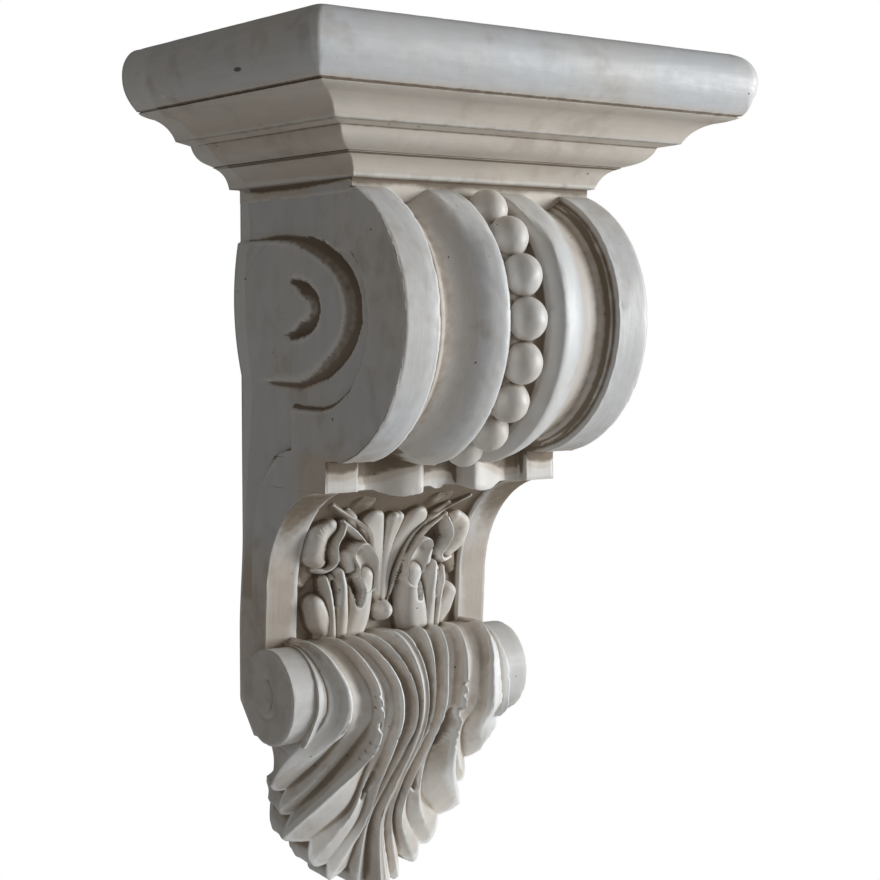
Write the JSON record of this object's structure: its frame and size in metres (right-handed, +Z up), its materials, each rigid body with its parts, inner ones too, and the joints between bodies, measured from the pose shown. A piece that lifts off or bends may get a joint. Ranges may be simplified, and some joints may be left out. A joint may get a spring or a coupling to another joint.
{
  "type": "baroque wall console",
  "caption": "Scroll bracket for a wall: moulded shelf over a beaded scroll with side volutes, carved panel, roll and hanging acanthus leaf.",
  "frame": {"origin": "on the flat back, in the middle of the width, 100 mm below the top of the shelf", "axes": "+Z up, +X to the right along the wall as seen from the front, -Y out of the wall towards the viewer"},
  "size_m": [0.2998, 0.1929, 0.4901],
  "materials": {
    "painted_plaster": "aged off-white paint with brown glaze left in the hollows, satin"
  },
  "bodies": {
    "root": {"console": "painted_plaster"}
  },
  "joints": []
}
